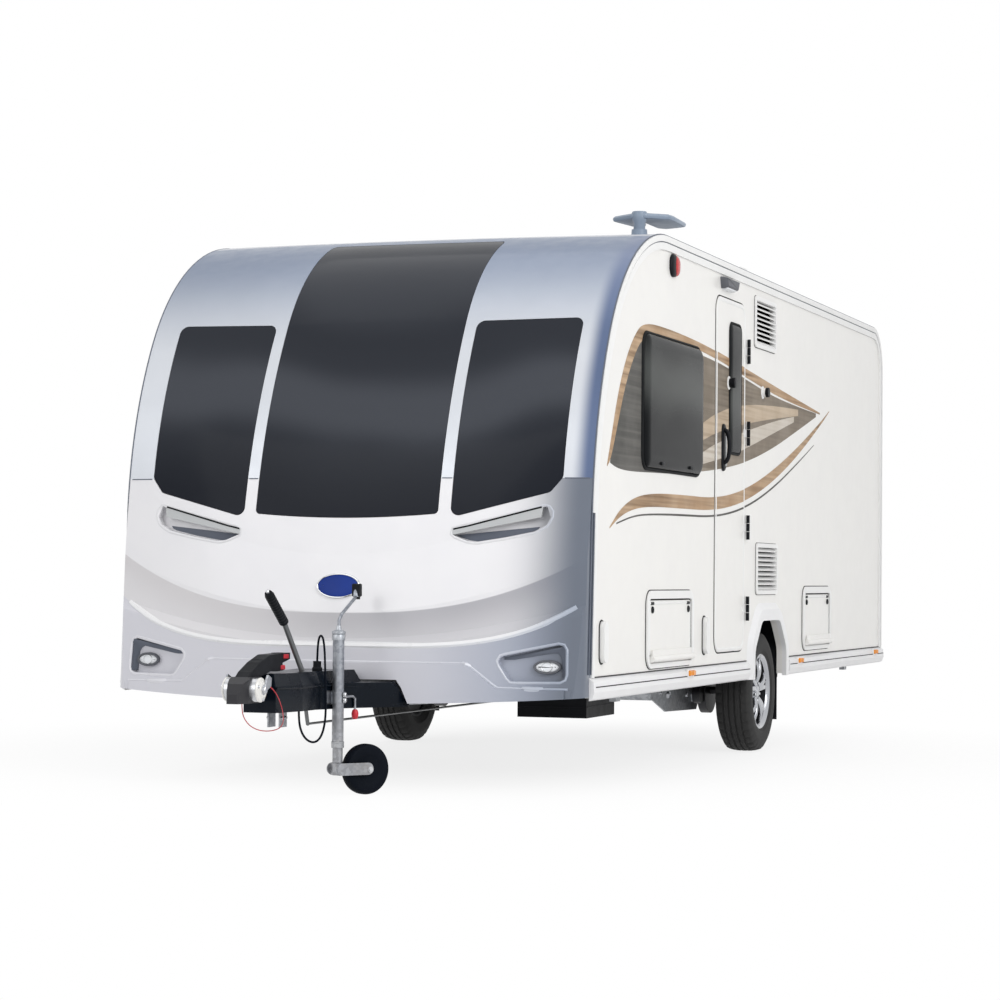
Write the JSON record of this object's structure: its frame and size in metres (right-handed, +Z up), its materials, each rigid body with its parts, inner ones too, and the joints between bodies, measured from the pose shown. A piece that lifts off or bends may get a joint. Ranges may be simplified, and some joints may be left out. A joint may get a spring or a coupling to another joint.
{
  "type": "touring caravan",
  "caption": "Single-axle touring caravan with a moulded raked front, dark bonded windows, entry door, lockers, drawbar, jockey wheel and corner steadies.",
  "frame": {"origin": "on the ground at the middle of the overall length and width", "axes": "+Z up, -Y towards the tow coupling (direction of travel), +X towards the entry-door side"},
  "size_m": [2.256, 7.45, 2.617],
  "materials": {
    "front_panel_white": "gloss moulded shell, pale silver white",
    "roof_white": "gloss sheet",
    "side_white": "smooth white glass-fibre sheet, satin gloss",
    "trim_white": "satin white trim",
    "dark_glass": "near-black tinted acrylic",
    "black_board": "dark sealed board",
    "black_plastic": "moulded black plastic",
    "galvanised_steel": "hot-dip galvanised",
    "black_steel": "black coated steel",
    "zinc_silver": "bright zinc plate",
    "tyre_rubber": "black tyre",
    "alloy_silver": "machined and lacquered alloy",
    "rubber_black": "black rubber",
    "red_sheath": "red plastic-coated cable",
    "aerial_grey": "pale grey-blue moulding",
    "amber_lens": "amber lens",
    "lamp_lens": "lamp lens",
    "red_lens": "red lens",
    "clear_lens": "clear lens",
    "grip_silver": "silver painted grip",
    "furniture_board": "plain board"
  },
  "bodies": {
    "body": {"awning_rails": "trim_white", "axle_beam": "galvanised_steel", "breakaway_cable": "red_sheath", "cabin_furniture": "furniture_board", "cable_plug": "black_plastic", "chassis_frame": "galvanised_steel", "coupling_head": "black_steel", "door_wall_fittings": "trim_white", "drawbar_cover": "black_plastic", "drawbar_rails": "galvanised_steel", "electrical_cable": "rubber_black", "floor": "black_board", "friction_discs": "zinc_silver", "front_grips": "grip_silver", "front_lamps": "clear_lens", "front_lower_panel": "front_panel_white", "front_upper_panel": "front_panel_white", "front_windows": "dark_glass", "handbrake_and_rod": "galvanised_steel", "jockey_clamp": "zinc_silver", "jockey_outer_tube": "zinc_silver", "locker_frames": "trim_white", "overrun_housing": "galvanised_steel", "pads_and_grips": "trim_white", "rear_lamps": "red_lens", "rear_panel": "front_panel_white", "roof_fittings": "aerial_grey", "roof_panel": "roof_white", "side_marker_lamps": "amber_lens", "side_skirts": "trim_white", "side_vents": "trim_white", "side_wall_left": "side_white", "side_wall_right": "side_white", "side_windows": "dark_glass", "stabiliser_handle": "black_plastic", "steady_brackets": "galvanised_steel", "suspension_arms": "black_steel", "underfloor_fittings": "black_plastic", "upper_lamps": "lamp_lens", "wheel_arch_lips": "trim_white", "wheel_boxes": "black_plastic"},
    "entry_door": {"entry_door": "side_white", "door_window": "dark_glass", "door_handle_and_knob": "black_plastic", "door_hinge_straps": "trim_white"},
    "jockey_tube": {"jockey_inner_tube": "zinc_silver"},
    "jockey_fork": {"jockey_fork": "zinc_silver"},
    "jockey_wheel": {"jockey_wheel": "rubber_black"},
    "road_wheel_left": {"road_wheel_left_tyre": "tyre_rubber", "road_wheel_left_rim": "alloy_silver"},
    "road_wheel_right": {"road_wheel_right_tyre": "tyre_rubber", "road_wheel_right_rim": "alloy_silver"},
    "steady_left_front": {"steady_leg_left_front": "black_steel"},
    "locker_left_front": {"locker_door_left_front": "side_white"},
    "steady_right_front": {"steady_leg_right_front": "black_steel"},
    "locker_right_front": {"locker_door_right_front": "side_white"},
    "steady_left_rear": {"steady_leg_left_rear": "black_steel"},
    "locker_left_rear": {"locker_door_left_rear": "side_white"},
    "steady_right_rear": {"steady_leg_right_rear": "black_steel"},
    "locker_right_rear": {"locker_door_right_rear": "side_white"}
  },
  "joints": [
    {"name": "entry_door_hinge", "type": "hinge", "parent": "body", "child": "entry_door", "pos_m": [1.098, 0.178, 1.4], "axis": [0, 0, 1], "range_deg": [0, 165]},
    {"name": "jockey_slide", "type": "slide", "parent": "body", "child": "jockey_tube", "axis": [0, 0, 1], "range_m": [0, 0.06]},
    {"name": "jockey_swivel", "type": "hinge", "parent": "jockey_tube", "child": "jockey_fork", "pos_m": [0.15, -2.975, 0.15], "axis": [0, 0, 1], "continuous": true},
    {"name": "jockey_wheel_spin", "type": "hinge", "parent": "jockey_fork", "child": "jockey_wheel", "pos_m": [0.22935, -2.86578, 0.105], "axis": [0.809, -0.5878, 0], "continuous": true},
    {"name": "road_wheel_left_spin", "type": "hinge", "parent": "body", "child": "road_wheel_left", "pos_m": [0.965, 0.68, 0.315], "axis": [1, 0, 0], "continuous": true},
    {"name": "road_wheel_right_spin", "type": "hinge", "parent": "body", "child": "road_wheel_right", "pos_m": [-0.965, 0.68, 0.315], "axis": [-1, 0, 0], "continuous": true},
    {"name": "locker_left_front_hinge", "type": "hinge", "parent": "body", "child": "locker_left_front", "pos_m": [1.097, -1.29, 0.542], "axis": [0, 1, 0], "range_deg": [0, 105]},
    {"name": "locker_left_rear_hinge", "type": "hinge", "parent": "body", "child": "locker_left_rear", "pos_m": [1.097, 1.84, 0.555], "axis": [0, 1, 0], "range_deg": [0, 105]},
    {"name": "locker_right_front_hinge", "type": "hinge", "parent": "body", "child": "locker_right_front", "pos_m": [-1.097, -1.23, 0.542], "axis": [0, -1, 0], "range_deg": [0, 105]},
    {"name": "locker_right_rear_hinge", "type": "hinge", "parent": "body", "child": "locker_right_rear", "pos_m": [-1.097, 2.87, 0.555], "axis": [0, -1, 0], "range_deg": [0, 105]},
    {"name": "steady_left_front_hinge", "type": "hinge", "parent": "body", "child": "steady_left_front", "pos_m": [0.8, -1.87, 0.425], "axis": [1, 0, 0], "range_deg": [0, 50]},
    {"name": "steady_right_front_hinge", "type": "hinge", "parent": "body", "child": "steady_right_front", "pos_m": [-0.8, -1.87, 0.425], "axis": [1, 0, 0], "range_deg": [0, 50]},
    {"name": "steady_left_rear_hinge", "type": "hinge", "parent": "body", "child": "steady_left_rear", "pos_m": [0.8, 3.07, 0.425], "axis": [-1, 0, 0], "range_deg": [0, 50]},
    {"name": "steady_right_rear_hinge", "type": "hinge", "parent": "body", "child": "steady_right_rear", "pos_m": [-0.8, 3.07, 0.425], "axis": [-1, 0, 0], "range_deg": [0, 50]}
  ]
}
